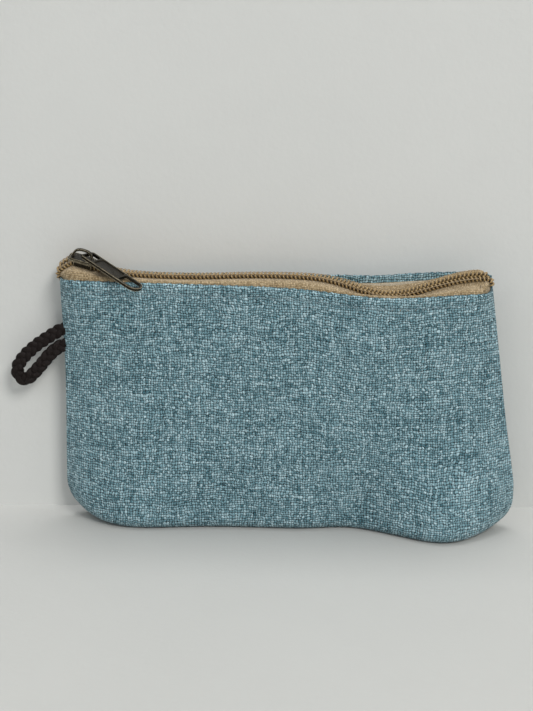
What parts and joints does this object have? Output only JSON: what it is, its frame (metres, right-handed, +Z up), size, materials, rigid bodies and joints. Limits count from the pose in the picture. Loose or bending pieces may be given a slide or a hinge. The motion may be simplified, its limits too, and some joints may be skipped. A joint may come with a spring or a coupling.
{
  "type": "zippered pouch",
  "caption": "Small lined fabric pouch with a boxed base, a coil zip with slider and pull across the top, and a braided hanging loop in the side seam.",
  "frame": {"origin": "middle of the bottom of the pouch's bounding box, without the hanging loop; the pouch stands on its base on z = 0", "axes": "+X along the zip from its closed end, the front panel faces -Y, +Z up"},
  "size_m": [0.2153, 0.0326, 0.1185],
  "materials": {
    "woven_cloth": "coarse plain weave in two blues",
    "lining_cloth": "plain cotton",
    "zip_tape": "herringbone woven tape",
    "zip_coil": "satin monofilament",
    "sand_thread": "spun polyester",
    "blue_thread": "spun polyester",
    "braided_cord": "waxed three-strand flat braid",
    "antique_brass": "darkened, worn bright on the edges"
  },
  "bodies": {
    "pouch": {"outer_front": "woven_cloth", "outer_back": "woven_cloth", "lining_front": "lining_cloth", "lining_back": "lining_cloth", "zip_tape_front": "zip_tape", "zip_tape_back": "zip_tape", "zip_coil_front": "zip_coil", "zip_coil_back": "zip_coil", "coil_thread_front": "sand_thread", "coil_thread_back": "sand_thread", "topstitch_front": "blue_thread", "topstitch_back": "blue_thread", "zip_seam_thread_front": "sand_thread", "zip_seam_thread_back": "sand_thread", "side_seam_thread_left": "blue_thread", "side_seam_thread_right": "blue_thread", "bottom_seam_thread": "blue_thread", "lining_seam_thread": "sand_thread", "hanging_loop": "braided_cord"},
    "slider": {"slider_body": "antique_brass", "slider_bridge": "antique_brass"},
    "pull": {"pull_tab": "antique_brass"}
  },
  "joints": [
    {"name": "slider_slide", "type": "slide", "parent": "pouch", "child": "slider", "axis": [0.9997, 0, -0.0241], "range_m": [0, 0.158], "deforming": ["zip_coil_front", "zip_coil_back", "coil_thread_front", "coil_thread_back", "zip_tape_front", "zip_tape_back"]},
    {"name": "pull_flip", "type": "hinge", "parent": "slider", "child": "pull", "pos_m": [-0.08347, 0.00606, 0.11571], "axis": [-0.523, -0.8522, -0.0163], "range_deg": [0, 144]}
  ]
}
